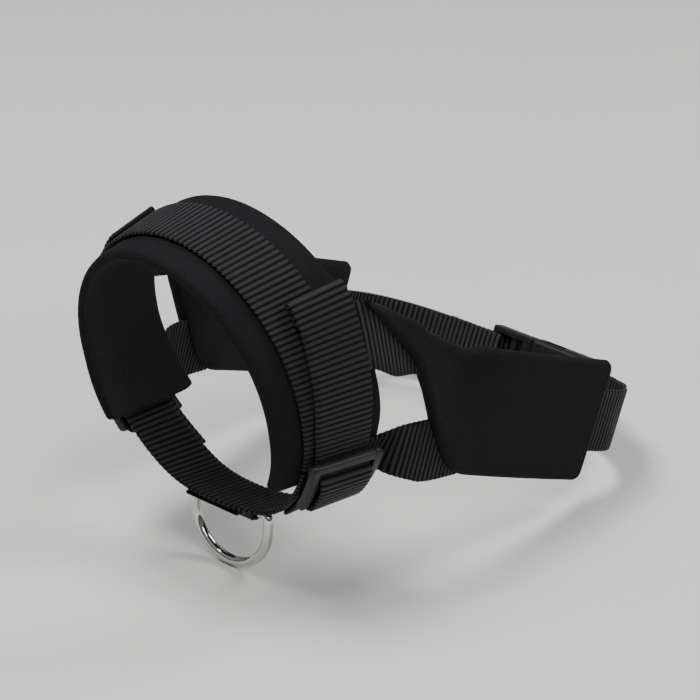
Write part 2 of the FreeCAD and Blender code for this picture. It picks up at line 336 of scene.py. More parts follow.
def webbingMaterial():
    look = webbingLook
    made, tree, shader = newMaterial("webbingBlack", {"Specular IOR Level": 0.09})
    flat = Wire.node(tree, "ShaderNodeUVMap", {"uv_map": "cloth"})
    split = Wire.node(tree, "ShaderNodeSeparateXYZ", {}, {0: flat})
    across = split.part("X")
    along = split.part("Y")
    phase = (along / webbing["pitch"]).math("FRACT") * 2 - 1
    rib = (1 - phase * phase).math("MAXIMUM", 0.0).math("SQRT")
    yarn = ((across + along * look["slant"]) * (2 * math.pi / look["twist"])).math("SINE") * 0.5 + 0.5
    fibre = objectNoise(tree, 2600.0, 2.0)
    wear = objectNoise(tree, 55.0, 4.0)
    # lift marks the painted highlight: a narrow band along each rib top, dotted by the yarn twist; off it
    # the colour falls to the painted groove shade
    lift = rib * rib * rib * rib * (yarn * yarn * 1.0 + 0.08)
    shade = blended(tree, lift, look["grooveShade"], look["rib"])
    # partly real fuzz, partly painted highlight: random patches, laid only over the painted rib-top
    # highlight, pull it a little darker
    highlightFuzz = (wear - 0.52).math("MAXIMUM", 0.0) * 1.6 * lift * (fibre * 0.8 + 0.3)
    shade = blended(tree, highlightFuzz.math("MINIMUM", 0.55), shade, look["dustyHighlight"])
    shade.into(shader.inputs["Base Color"])
    rough = 0.40 + (1 - rib) * 0.45 + (wear - 0.5) * 0.3
    rough.into(shader.inputs["Roughness"])
    bumped(tree, shader, yarn * 0.8 + fibre * 0.25, 0.22 * mm, 0.9)
    return made


def neopreneMaterial(name, dark, light, knit):
    made, tree, shader = newMaterial(name, {"Specular IOR Level": 0.09})
    place = Wire.node(tree, "ShaderNodeTexCoord").part("Object")
    cells = Wire.node(tree, "ShaderNodeTexVoronoi", {"feature": "F1"}, {"Vector": place, "Scale": knit})
    lint = objectNoise(tree, 900.0, 2.0)
    patch = objectNoise(tree, 38.0, 4.0)
    loops = cells.part("Distance")
    mix = (patch * 0.7 + lint * 0.45 - loops * 0.25).math("MINIMUM", 1.0).math("MAXIMUM", 0.0)
    blended(tree, mix, dark, light).into(shader.inputs["Base Color"])
    (0.68 + patch * 0.22 + loops * 0.1).into(shader.inputs["Roughness"])
    bumped(tree, shader, (1 - loops) * 0.6 + lint * 0.5, 0.2 * mm, 0.8)
    return made


def nickelMaterial():
    made, tree, shader = newMaterial("nickelWire", {"Metallic": 1.0})
    scuff = objectNoise(tree, 420.0, 5.0)
    haze = objectNoise(tree, 60.0, 3.0)
    blended(tree, haze, (0.62, 0.60, 0.57, 1), (0.46, 0.45, 0.43, 1)).into(shader.inputs["Base Color"])
    (0.04 + (scuff - 0.5).math("MAXIMUM", 0.0) * 0.5 + haze * 0.08).into(shader.inputs["Roughness"])
    bumped(tree, shader, scuff, 0.03 * mm, 0.25)
    return made


def plasticMaterial():
    made, tree, shader = newMaterial("mouldedPlastic", {"Specular IOR Level": 0.22})
    grain = objectNoise(tree, 3200.0, 2.0)
    rub = objectNoise(tree, 140.0, 4.0)
    colour = blended(tree, rub, (0.0030, 0.0033, 0.0028, 1), (0.012, 0.013, 0.0108, 1))
    colour.into(shader.inputs["Base Color"])
    (0.34 + rub * 0.22).into(shader.inputs["Roughness"])
    bumped(tree, shader, grain, 0.05 * mm, 0.35)
    return made


def threadMaterial():
    made, tree, shader = newMaterial("threadBlack", {"Specular IOR Level": 0.12})
    strand = objectNoise(tree, 2400.0, 2.0)
    colour = blended(tree, strand, (0.002, 0.002, 0.0022, 1), (0.010, 0.010, 0.011, 1))
    colour.into(shader.inputs["Base Color"])
    (0.42 + strand * 0.25).into(shader.inputs["Roughness"])
    bumped(tree, shader, strand, 0.05 * mm, 0.5)
    return made


def floorMaterial():
    made, tree, shader = newMaterial("paleFloor", {"Specular IOR Level": 0.2})
    patch = objectNoise(tree, 3.0, 3.0)
    blended(tree, patch, (0.62, 0.61, 0.59, 1), (0.66, 0.65, 0.63, 1)).into(shader.inputs["Base Color"])
    (0.75 + patch * 0.1).into(shader.inputs["Roughness"])
    return made


print("materials")
webbingBlack = webbingMaterial()
neopreneBlack = neopreneMaterial(
    "neopreneBlack", (0.0034, 0.0034, 0.0040, 1), (0.0125, 0.0125, 0.0138, 1), 1300.0)
liningBlack = neopreneMaterial("liningBlack", (0.006, 0.006, 0.0068, 1), (0.020, 0.020, 0.022, 1), 800.0)
nickelWire = nickelMaterial()
mouldedPlastic = plasticMaterial()
threadBlack = threadMaterial()
paleFloor = floorMaterial()

def interfaceTree(name, inputs):
    tree = bpy.data.node_groups.new(name, "GeometryNodeTree")
    tree.interface.new_socket("Geometry", in_out="INPUT", socket_type="NodeSocketGeometry")
    for label, kind in inputs:
        tree.interface.new_socket(label, in_out="INPUT", socket_type=kind)
    tree.interface.new_socket("Geometry", in_out="OUTPUT", socket_type="NodeSocketGeometry")
    given = tree.nodes.new("NodeGroupInput")
    result = tree.nodes.new("NodeGroupOutput")
    wires = {s.name: Wire(tree, s) for s in given.outputs if s.name}
    return tree, wires, result


def finishTree(tree, shape, material, result):
    real = Wire.node(tree, "GeometryNodeRealizeInstances", {}, {"Geometry": shape})
    painted = Wire.node(tree, "GeometryNodeSetMaterial", {}, {"Geometry": real, "Material": material})
    painted.into(result.inputs[0])


def ribTree():
    # raises a rounded rib at every pitch along a strip
    tree, given, result = interfaceTree("webbingRibs", [
        ("Pitch", "NodeSocketFloat"), ("Height", "NodeSocketFloat"), ("Wobble", "NodeSocketFloat"),
        ("Material", "NodeSocketMaterial")])
    along = Wire.node(tree, "GeometryNodeInputNamedAttribute", {"data_type": "FLOAT"}, {"Name": "along"})
    crown = Wire.node(tree, "GeometryNodeInputNamedAttribute", {"data_type": "FLOAT"}, {"Name": "crown"})
    place = Wire.node(tree, "GeometryNodeInputPosition")
    uneven = Wire.node(tree, "ShaderNodeTexNoise", {}, {"Vector": place, "Scale": 260.0, "Detail": 1.0})
    phase = (along / given["Pitch"]).math("FRACT") * 2 - 1
    rib = (1 - phase * phase).math("MAXIMUM", 0.0) ** 0.6
    height = (rib * given["Height"] + (uneven - 0.5) * given["Wobble"]) * crown
    normal = Wire.node(tree, "GeometryNodeInputNormal")
    offset = Wire.node(tree, "ShaderNodeVectorMath", {"operation": "SCALE"}, {0: normal, "Scale": height})
    moved = Wire.node(tree, "GeometryNodeSetPosition", {}, {"Geometry": given["Geometry"], "Offset": offset})
    finishTree(tree, moved, given["Material"], result)
    return tree


def stitchTree():
    # lays a short capsule of thread at even steps along each line
    tree, given, result = interfaceTree("threadStitches", [
        ("Step", "NodeSocketFloat"), ("Length", "NodeSocketFloat"), ("Thick", "NodeSocketFloat"),
        ("Material", "NodeSocketMaterial")])
    line = Wire.node(tree, "GeometryNodeMeshToCurve", {}, {"Mesh": given["Geometry"]})
    even = Wire.node(tree, "GeometryNodeResampleCurve", {"mode": "LENGTH"},
                     {"Curve": line, "Length": given["Step"]})
    tangent = Wire.node(tree, "GeometryNodeInputTangent")
    facing = Wire.node(tree, "GeometryNodeInputNamedAttribute", {"data_type": "FLOAT_VECTOR"},
                       {"Name": "facing"})
    ahead = Wire.node(tree, "FunctionNodeAlignRotationToVector", {"axis": "X"}, {"Vector": tangent})
    turned = Wire.node(tree, "FunctionNodeAlignRotationToVector", {"axis": "Z", "pivot_axis": "X"},
                       {"Rotation": ahead, "Vector": facing})
    ball = Wire.node(tree, "GeometryNodeMeshUVSphere", {}, {"Segments": 8, "Rings": 6, "Radius": 0.5})
    size = Wire.node(tree, "ShaderNodeCombineXYZ", {},
                     {0: given["Length"], 1: given["Thick"], 2: given["Thick"] * 0.8})
    placed = Wire.node(tree, "GeometryNodeInstanceOnPoints", {},
                       {"Points": even, "Instance": ball, "Rotation": turned, "Scale": size})
    finishTree(tree, placed, given["Material"], result)
    return tree


ribs = ribTree()
stitches = stitchTree()


def applyTree(piece, tree, values):
    modifier = piece.modifiers.new("maker", "NODES")
    modifier.node_group = tree
    for item in tree.interface.items_tree:
        if item.in_out == "INPUT" and item.name in values:
            modifier[item.identifier] = values[item.name]
    depsgraph = bpy.context.evaluated_depsgraph_get()
    made = bpy.data.meshes.new_from_object(piece.evaluated_get(depsgraph))
    piece.modifiers.clear()
    old = piece.data
    piece.data = made
    made.name = piece.name
    bpy.data.meshes.remove(old)


def addPiece(name, vertices, faces, edges=()):
    mesh = bpy.data.meshes.new(name)
    mesh.from_pydata([tuple(v) for v in vertices], list(edges), faces)
    mesh.validate()
    piece = bpy.data.objects.new(name, mesh)
    bpy.context.collection.objects.link(piece)
    return piece


def roundedProfile(low, high, thick, flatPoints, roundPoints):
    # a closed outline in the width and normal directions, rounded at both edges
    r = thick / 2
    points = []
    for i in range(flatPoints + 1):
        x = high - r - (high - low - 2 * r) * i / flatPoints
        points.append((x, r))
    for i in range(1, roundPoints):
        a = math.pi / 2 + math.pi * i / roundPoints
        points.append((low + r + r * math.cos(a), r * math.sin(a)))
    for i in range(flatPoints + 1):
        x = low + r + (high - low - 2 * r) * i / flatPoints
        points.append((x, -r))
    for i in range(1, roundPoints):
        a = -math.pi / 2 + math.pi * i / roundPoints
        points.append((high - r + r * math.cos(a), r * math.sin(a)))
    return points


def sweep(name, path, profileAt, flipped=False):
    p, w, n, at = path
    rows = []
    for i in range(len(p)):
        outline = np.array(profileAt(at[i], at[-1]))
        rows.append(p[i] + outline[:, :1] * w[i] + outline[:, 1:2] * n[i])
    count = len(rows[0])
    vertices = np.vstack(rows)
    faces = []
    for i in range(len(p) - 1):
        for j in range(count):
            a = i * count + j
            b = i * count + (j + 1) % count
            quad = [a, b, b + count, a + count]
            faces.append(quad[::-1] if flipped else quad)
    first = list(range(count))
    last = [(len(p) - 1) * count + j for j in range(count)]
    faces.append(first if flipped else first[::-1])
    faces.append(last[::-1] if flipped else last)
    return addPiece(name, vertices, faces), count


def addFlatMap(piece, across, along):
    mesh = piece.data
    layer = mesh.uv_layers.new(name="cloth")
    loops = np.zeros(len(mesh.loops), dtype=np.int32)
    mesh.loops.foreach_get("vertex_index", loops)
    flat = np.stack([across[loops], along[loops]], axis=1).astype(np.float32).ravel()
    layer.data.foreach_set("uv", flat)


def ribbon(name, places, flipped=False, narrow=None, bow=None):
    # ribbed webbing along a path; narrow scales its width and bow curves it across
    path = resampled(places, webbing["pitch"] / webbing["stepsPerRib"])
    count = len(path[0])
    thick = webbing["thick"] - webbing["ribHeight"]
    wide = webbing["wide"]

    def outline(at, total):
        half = wide / 2 * (narrow(at / total) if narrow else 1.0)
        curve = bow(at) if bow else 0.0
        section = roundedProfile(-half, half, thick, webbing["flatPoints"], webbing["edgePoints"])
        return [(x, y - x * x * curve) for x, y in section]

    piece, ring = sweep(name, path, outline, flipped)
    flat = np.array(roundedProfile(-wide / 2, wide / 2, thick, webbing["flatPoints"], webbing["edgePoints"]))
    reach = np.concatenate([[0], np.cumsum(np.linalg.norm(np.diff(flat, axis=0), axis=1))])
    across = np.tile(reach, count)
    along = np.repeat(path[3], ring)
    crown = np.where(np.abs(flat[:, 1]) > thick * 0.42, webbing["faceCrown"], webbing["edgeCrown"])
    mesh = piece.data
    mesh.attributes.new("along", "FLOAT", "POINT").data.foreach_set("value", along.astype(np.float32))
    crowns = np.tile(crown, count).astype(np.float32)
    mesh.attributes.new("crown", "FLOAT", "POINT").data.foreach_set("value", crowns)
    addFlatMap(piece, across, along)
    mesh.shade_smooth()
    applyTree(piece, ribs, {"Pitch": webbing["pitch"], "Height": webbing["ribHeight"],
                            "Wobble": webbing["wobble"], "Material": webbingBlack})
    return piece


def thread(name, lines, step=2.4 * mm, length=1.9 * mm, thick=0.34 * mm):
    # lines: each a list of (point, outward normal)
    vertices = []
    facing = []
    edges = []
    for line in lines:
        base = len(vertices)
        vertices += [tuple(p) for p, n in line]
        facing += [tuple(n) for p, n in line]
        edges += [(base + i, base + i + 1) for i in range(len(line) - 1)]
    piece = addPiece(name, vertices, [], edges)
    layer = piece.data.attributes.new("facing", "FLOAT_VECTOR", "POINT")
    layer.data.foreach_set("vector", np.array(facing, dtype=np.float32).ravel())
    applyTree(piece, stitches, {"Step": step, "Length": length, "Thick": thick, "Material": threadBlack})
    piece.data.shade_smooth()
    return piece


def sewnLine(places, across, out):
    path = resampled(places, 2.0 * mm)
    return [(Vector(p + w * across + n * out), Vector(n)) for p, w, n in zip(*path[:3])]


def dress(piece, body, nodes=()):
    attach(piece, body)
    if nodes:
        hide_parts(*nodes)
    return piece


# padding is a closed shell, puffed by a cloth simulation between its sewn lines

padCloth = {"pressure": 4.0, "frames": 20, "stiffness": 18, "bending": 2, "cell": 3.0 * mm}


def puffed(piece, still, cap):
    # still gives 1 for a vertex that the sewing holds and 0 for a free one
    mesh = piece.data
    before = np.zeros(len(mesh.vertices) * 3)
    mesh.vertices.foreach_get("co", before)
    before = before.reshape(-1, 3)
    held = piece.vertex_groups.new(name="sewn")
    for i, k in enumerate(still):
        held.add([i], float(k), "REPLACE")
    cloth = piece.modifiers.new("cloth", "CLOTH")
    cloth.settings.use_pressure = True
    cloth.settings.uniform_pressure_force = padCloth["pressure"]
    cloth.settings.vertex_group_mass = "sewn"
    cloth.settings.tension_stiffness = padCloth["stiffness"]
    cloth.settings.compression_stiffness = padCloth["stiffness"]
    cloth.settings.bending_stiffness = padCloth["bending"]
    cloth.settings.effector_weights.gravity = 0
    cloth.point_cache.frame_start = 1
    cloth.point_cache.frame_end = padCloth["frames"]
    scene = bpy.context.scene
    for step in range(1, padCloth["frames"] + 1):
        scene.frame_set(step)
        bpy.context.view_layer.update()
    made = bpy.data.meshes.new_from_object(piece.evaluated_get(bpy.context.evaluated_depsgraph_get()))
    after = np.zeros(len(made.vertices) * 3)
    made.vertices.foreach_get("co", after)
    bpy.data.meshes.remove(made)
    move = after.reshape(-1, 3) - before
    size = np.linalg.norm(move, axis=1)
    share = np.minimum(1.0, cap / np.maximum(size, 1e-9))
    mesh.vertices.foreach_set("co", (before + move * share[:, None]).ravel())
    piece.modifiers.clear()
    piece.vertex_groups.clear()
    scene.frame_set(1)
    print(piece.name, "puffed by up to", round(float(size.max()) * 1000, 2), "mm")
    finer = piece.modifiers.new("finer", "SUBSURF")
    finer.levels = 1
    finer.render_levels = 1
    made = bpy.data.meshes.new_from_object(piece.evaluated_get(bpy.context.evaluated_depsgraph_get()))
    piece.modifiers.clear()
    piece.data = made
    made.shade_smooth()


print("camera and light")
stage = {"azimuth": 38.25, "elevation": 25.8, "roll": 2.86, "distance": 1.1, "right": 47.8 * mm,
         "up": 6.0 * mm, "wide": 254.5 * mm, "sensor": 36.0, "floorHalf": 3.0, "skyStrength": 0.32}


def setStage():
    a = math.radians(stage["azimuth"])
    e = math.radians(stage["elevation"])
    right = Vector((math.cos(a), math.sin(a), 0))
    back = Vector((math.sin(a) * math.cos(e), -math.cos(a) * math.cos(e), math.sin(e)))
    up = back.cross(right)
    r = math.radians(stage["roll"])
    camX = right * math.cos(r) + up * math.sin(r)
    camY = up * math.cos(r) - right * math.sin(r)
    data = bpy.data.cameras.new("camera")
    data.sensor_width = stage["sensor"]
    data.lens = stage["sensor"] * stage["distance"] / stage["wide"]
    data.clip_start = 0.01
    data.clip_end = 20
    camera = bpy.data.objects.new("camera", data)
    bpy.context.collection.objects.link(camera)
    place = camX * stage["right"] + camY * stage["up"] + back * stage["distance"]
    turn = Matrix((camX, camY, back)).transposed().to_4x4()
    camera.matrix_world = Matrix.Translation(place) @ turn
    bpy.context.scene.camera = camera

    low = min(cadBox[0][2], cadBox[1][2]) - 0.5 * mm
    half = stage["floorHalf"]
    corners = [(-half, -half, low), (half, -half, low), (half, half, low), (-half, half, low)]
    floor = addPiece("floor", corners, [(0, 1, 2, 3)])
    floor.data.materials.append(paleFloor)

    aim = Vector((0, 0.06, -0.02))
    for name, place, size, power in (
        ("keyLight", (-0.25, -0.35, 1.25), 0.45, 19.0),
        ("fillLight", (1.1, -0.5, 0.9), 0.5, 9.0),
        ("rimLight", (0.5, 1.0, 1.1), 0.5, 12.0),
    ):
        lamp = bpy.data.lights.new(name, "AREA")
        lamp.size = size
        lamp.energy = power
        light = bpy.data.objects.new(name, lamp)
        bpy.context.collection.objects.link(light)
        place = Vector(place)
        turn = (place - aim).to_track_quat("Z", "Y").to_matrix().to_4x4()
        light.matrix_world = Matrix.Translation(place) @ turn
    world = bpy.data.worlds.new("softSky")
    world.use_nodes = True
    sky = world.node_tree.nodes["Background"]
    heading = Wire.node(world.node_tree, "ShaderNodeTexCoord").part("Generated")
    height = Wire.node(world.node_tree, "ShaderNodeSeparateXYZ", {}, {0: heading}).part("Z")
    lift = (height * 1.6 + 0.15).math("MAXIMUM", 0.0).math("MINIMUM", 1.0)
    blended(world.node_tree, lift, (0.10, 0.105, 0.12, 1), (1.05, 1.08, 1.14, 1)).into(sky.inputs["Color"])
    sky.inputs["Strength"].default_value = stage["skyStrength"]
    bpy.context.scene.world = world


setStage()

print("nose loop")
nosePad = {"end": 123.0, "half": 25 * mm, "thick": 5.0 * mm, "webHalf": 12.5 * mm, "skin": 0.4 * mm,
           "margin": 1.5 * mm, "endHeld": 3 * mm, "cap": 1.2 * mm, "across": 16, "fill": 0.4}


def padPiece(name, places, lowAt, highAt, thick, centre, flipped, stillAt, cap, flatPoints=14):
    path = resampled(places, padCloth["cell"])

    def outline(at, total):
        section = roundedProfile(lowAt(at, total), highAt(at, total), thick, flatPoints, 5)
        return [(x, y + centre) for x, y in section]

    piece, ring = sweep(name, path, outline, flipped)
    total = path[3][-1]
    still = [stillAt(x, at, total) for at in path[3] for x, y in outline(at, total)]
    puffed(piece, still, cap)
    return piece


def lineInside(piece, outward):
    # the faces turned towards the animal take the lining
    mesh = piece.data
    mesh.materials.append(neopreneBlack)
    mesh.materials.append(liningBlack)
    for face in mesh.polygons:
        face.material_index = 1 if face.normal.dot(outward(face.center)) < -0.75 else 0


def makeNosePad():
    half = nosePad["half"]
    places = [loopPlace(a) for a in spread(-nosePad["end"], nosePad["end"], 61)]

    def still(x, at, total):
        near = abs(x) < nosePad["webHalf"] + nosePad["margin"]
        end = min(at, total - at) < nosePad["endHeld"]
        return 1.0 if near or end else 0.0

    thick = nosePad["thick"]
    piece = padPiece("nosePad", places, lambda a, t: -half, lambda a, t: half, thick - nosePad["skin"],
                     -thick / 2, False, still, nosePad["cap"], nosePad["across"])
    lineInside(piece, lambda c: Vector((c.x, 0, c.z + loop["lean"] * c.y)).normalized())
    covers = ["nose_pad_cover", "nose_pad_core", "nose_pad_lining"]
    return dress(piece, "harness", covers)


def cheekShift(a):
    k = min(1.0, max(0.0, (a - 50.0) / (loop["arcStart"] - 50.0)))
    return (11.0 + (4.0 - 11.0) * k) * mm


def raised(places, out):
    return [shifted(place, 0.0, out) for place in places]


makeNosePad()
noseRun = raised([loopPlace(a) for a in spread(-112, 112, 57)], firstLayer)
dress(ribbon("noseWebbing", noseRun), "harness", ["nose_webbing"])
chinRun = raised([loopPlace(a) for a in spread(113, 247, 41)], firstLayer)
dress(ribbon("chinStrap", chinRun), "harness", ["chin_strap"])


def cheekFold():
    # the top end is turned under, so the first stretch stands one thickness higher
    places = []
    for turn, out in ((56.0, 0.15), (50.2, 0.2), (48.3, 0.5), (47.6, 1.0), (48.3, 1.55), (50.2, 1.8)):
        place = shifted(loopPlace(turn), cheekShift(turn), secondLayer + out * mm)
        places.append(place)
    for turn in spread(53.0, 141.0, 32):
        k = max(0.0, 1.0 - (turn - 53.0) / 16.0)
        rise = 1.8 * mm * k * k * (3 - 2 * k)
        places.append(shifted(loopPlace(turn), cheekShift(turn), secondLayer + rise))
    turned = []
    for i, (p, w, n) in enumerate(places):
        along = places[min(len(places) - 1, i + 1)][0] - places[max(0, i - 1)][0]
        turned.append([p, w, along.cross(w).normalized()])
    return turned


cheekRun = cheekFold()
dress(ribbon("leftCheekWebbing", cheekRun), "harness", ["left_cheek_webbing"])
rightRun = mirroredPlaces(cheekRun)
dress(ribbon("rightCheekWebbing", rightRun, True), "harness", ["right_cheek_webbing"])

print("side straps")


def strapStart(angle, back):
    p, w, n = loopPlace(angle)
    up = w.cross(n)
    if up.z < 0:
        up = -up
    return [p + w * back + n * firstLayer, up, w.cross(up).normalized()]


def upperPlaces():
    places = [strapStart(68.0, back * mm) for back in (12.8, 19.0, 25.1)]
    places.append(freePlace((56.2, 33.0, 16.8), (-0.40, 0.25, 0.88), (0.22, 0.88, -0.42)))
    places.append(freePlace((59.0, 45.0, 9.6), (-0.26, 0.38, 0.88), (0.18, 0.86, -0.48)))
    return places


def lowerPlaces():
    places = [strapStart(113.0, back * mm) for back in (12.8, 19.0, 25.1)]
    places.append(freePlace((57.6, 36.0, -26.6), (0.10, 0.22, 0.97), (0.14, 0.95, -0.26)))
    places.append(freePlace((61.0, 50.0, -30.4), (0.00, 0.30, 0.95), (0.12, 0.94, -0.30)))
    return places


def rootBow(at):
    # the strap starts out curved, where it lies on the pad, and goes flat as it leaves
    k = max(0.0, 1.0 - at / (15 * mm))
    return k / (2 * loop["halfHeight"])


def gathered(share):
    # the lower strap is bunched where it leaves the slider
    return 0.55 + 0.43 * min(1.0, share / 0.6)


def tucked(share):
    # the upper strap's end narrows where the pad's cover hides it
    k = max(0.0, (share - 0.5) / 0.5)
    return 1.0 - 0.40 * k * k * (3 - 2 * k)


upperRun = upperPlaces()
lowerRun = lowerPlaces() + [shifted(neckPlace(7 * mm, 0.8), -12.2 * mm)]
for side, flip in (("left", False), ("right", True)):
    upper = mirroredPlaces(upperRun) if flip else upperRun
    lower = mirroredPlaces(lowerRun) if flip else lowerRun
    strap = ribbon(side + "UpperStrap", upper, flip, bow=rootBow, narrow=tucked)
    dress(strap, "harness", [side + "_upper_side_strap"])
    strap = ribbon(side + "LowerStrap", lower, flip, bow=rootBow, narrow=gathered)
    dress(strap, "harness", [side + "_lower_side_strap"])

print("neck pads")
neckPad = {"half": 25 * mm, "cover": 2.6 * mm, "lining": 2.2 * mm, "back": 88 * mm, "skin": 0.6 * mm,
           "sewn": 4.2 * mm, "endHeld": 4.5 * mm, "cap": 0.9 * mm, "fill": 0.3, "seam": 3.4 * mm}


def neckPadRows():
    # place, low edge and high edge from the pointed front to the rear end
    upper = upperPlaces()
    half = neckPad["half"]
    rows = [
        (upper[2], 11.6 * mm, 13.8 * mm),
        (upper[3], 0.0, 11.8 * mm),
        (upper[4], -10.5 * mm, 8.6 * mm),
        (neckPlace(-9 * mm, 6.0), -15.0 * mm, half - 1.0 * mm),
        (neckPlace(3 * mm, 2.0), -23.5 * mm, half + 0.7 * mm),
    ]
    rows += [(neckPlace(q * mm), -half, half) for q in (10, 23, 36, 49, 62, 75, 88)]
    return rows


def makeNeckPad(side, flip):
    rows = neckPadRows()
    places = [row[0] for row in rows]
    if flip:
        places = mirroredPlaces(places)
    run = [0.0]
    for a, b in zip(places, places[1:]):
        run.append(run[-1] + (b[0] - a[0]).length)
    total = run[-1]
    lows = [row[1] for row in rows]
    highs = [row[2] for row in rows]
    share = [r / total for r in run]
    thick = neckPad["cover"] + neckPad["lining"] + webbing["thick"] - neckPad["skin"]
    centre = (neckPad["cover"] - neckPad["lining"]) / 2

    def lowAt(at, whole):
        return float(np.interp(at / whole, share, lows))

    def highAt(at, whole):
        return float(np.interp(at / whole, share, highs))

    def still(x, at, whole):
        edge = min(x - lowAt(at, whole), highAt(at, whole) - x)
        return 1.0 if edge < neckPad["sewn"] or min(at, whole - at) < neckPad["endHeld"] else 0.0

    piece = padPiece(side + "NeckPad", places, lowAt, highAt, thick, centre, flip, still, neckPad["cap"])
    lineInside(piece, lambda c: Vector((-1.0 if flip else 1.0, 0, 0)))
    covers = [side + "_neck_pad_cover", side + "_neck_pad_lining"]
    return dress(piece, "harness", covers)


neckPads = {side: makeNeckPad(side, flip) for side, flip in (("left", False), ("right", True))}

print("neck strap")
leftEnd = napeStart + napeHalf - 33.6 * mm
rightEnd = napeStart + napeHalf - 10.0 * mm
leftRun = [neckPlace(q) for q in spread(80 * mm, leftEnd, 30)]
rightRun = mirroredPlaces([neckPlace(q) for q in spread(80 * mm, rightEnd, 34)])
dress(ribbon("leftNeckStrap", leftRun), "harness", ["left_neck_strap"])
dress(ribbon("rightNeckStrap", rightRun, True), "harness", ["right_neck_strap"])


def napePath(points):
    places = []
    for i, (x, y) in enumerate(points):
        before = points[max(0, i - 1)]
        after = points[min(len(points) - 1, i + 1)]
        along = Vector((after[0] - before[0], after[1] - before[1], 0)).normalized()
        n = along.cross(Vector((0, 0, 1)))
        p = fromBand((x * mm, napeY + y * mm, 0))
        places.append([p, neckTurn @ Vector((0, 0, 1)), neckTurn @ n])
    return places


def foldPath():
    points = []
    for step in range(1, 7):
        angle = math.radians(-90.0 - 30.0 * step)
        points.append((33.4 + 2.6 * math.cos(angle), 2.6 + 2.6 * math.sin(angle)))
    points += [(37.2, 4.9), (41.5, 3.1), (46.0, 1.2)]
    for angle in (24.0, 31.0, 38.0):
        turn = math.radians(angle)
        points.append((36 + 32 * math.sin(turn), 32 * math.cos(turn) - 30))
    return points


wrapPath = [(-2.3, 1.9), (-2.3, 3.6), (-2.4, 5.4), (-3.3, 6.9), (-5.4, 7.3), (-8.4, 7.0), (-12.4, 6.1),
            (-16.4, 4.8), (-19.6, 3.4), (-23.0, 2.6), (-26.0, 2.4), (-32.0, 2.4), (-38.0, 2.4)]
dress(ribbon("leftStrapFold", napePath(foldPath())), "harness", ["left_strap_fold"])
dress(ribbon("plugWrap", napePath(wrapPath)), "plug", ["plug_wrap"])

print("hardware")


sliderShape = {"centre": 117.0, "arc": 20.6, "rail": 4.0 * mm, "middleBar": 4.0 * mm, "thick": 3.4 * mm,
               "spare": 0.6 * mm, "barInset": 2.1 * mm, "barReach": 1.5 * mm, "corner": 1.2 * mm}
sliderTop = sliderBase + sliderShape["thick"]
perMm = math.degrees(1.0 / (loop["cheekRadius"] + sliderBase)) * mm


def softBox(halfWide, halfThick, count=24):
    # a squarish outline with soft corners
    points = []
    for i in range(count):
        a = 2 * math.pi * i / count
        c, d = math.cos(a), math.sin(a)
        x = halfWide * math.copysign(abs(c) ** 0.3, c)
        y = halfThick * math.copysign(abs(d) ** 0.3, d)
        points.append((x, y))
    return points


def sliderPlace(turn, out):
    return shifted(loopPlace(turn), cheekShift(sliderShape["centre"]), out)


def makeSlider(side, flip):
    shape = sliderShape
    low = shape["centre"] - shape["arc"] / 2
    high = shape["centre"] + shape["arc"] / 2
    mid = sliderBase + shape["thick"] / 2
    half = webbing["wide"] / 2 + shape["spare"]
    pieces = []

    def railOutline(at, total):
        return endRounded(shape["rail"] / 2, shape["thick"] / 2, at, total)

    for k in (-1, 1):
        beside = k * (half + shape["rail"] / 2)
        run = [shifted(sliderPlace(turn, mid), beside) for turn in spread(low, high, 22)]
        run = mirroredPlaces(run) if flip else run
        pieces.append(sweep("rail", resampled(run, 0.8 * mm), railOutline, flip)[0])
    inset = shape["barInset"] * perMm / mm
    for turn, wide in (
        (low + inset, shape["rail"]),
        (shape["centre"], shape["middleBar"]),
        (high - inset, shape["rail"]),
    ):
        p, w, n = sliderPlace(turn, mid)
        along = w.cross(n)
        reach = half + shape["barReach"]
        run = [[p + w * x, along, n] for x in spread(-reach, reach, 8)]
        run = mirroredPlaces(run) if flip else run
        section = softBox(wide / 2 - 0.1 * mm, shape["thick"] / 2 - 0.15 * mm)
        pieces.append(sweep("bar", resampled(run, 2 * mm, False), lambda at, total: section, not flip)[0])
    return joined(side + "CheekSlider", pieces, mouldedPlastic)


def endRounded(halfWide, halfThick, at, total):
    # the two ends of a rail draw in so that its corners are round
    k = min(1.0, min(at, total - at) / sliderShape["corner"])
    k = 0.55 + 0.45 * math.sqrt(1 - (1 - k) ** 2)
    return softBox(halfWide * k, halfThick * k)


def joined(name, pieces, material):
    vertices = []
    faces = []
    for piece in pieces:
        base = len(vertices)
        vertices += [tuple(v.co) for v in piece.data.vertices]
        faces += [[base + k for k in face.vertices] for face in piece.data.polygons]
        bpy.data.objects.remove(piece)
    made = addPiece(name, vertices, faces)
    made.data.materials.append(material)
    made.data.shade_smooth()
    made.data.set_sharp_from_angle(angle=math.radians(50))
    return made


for side, flip in (("left", False), ("right", True)):
    dress(makeSlider(side, flip), side + "_slider", [side + "_cheek_slider"])


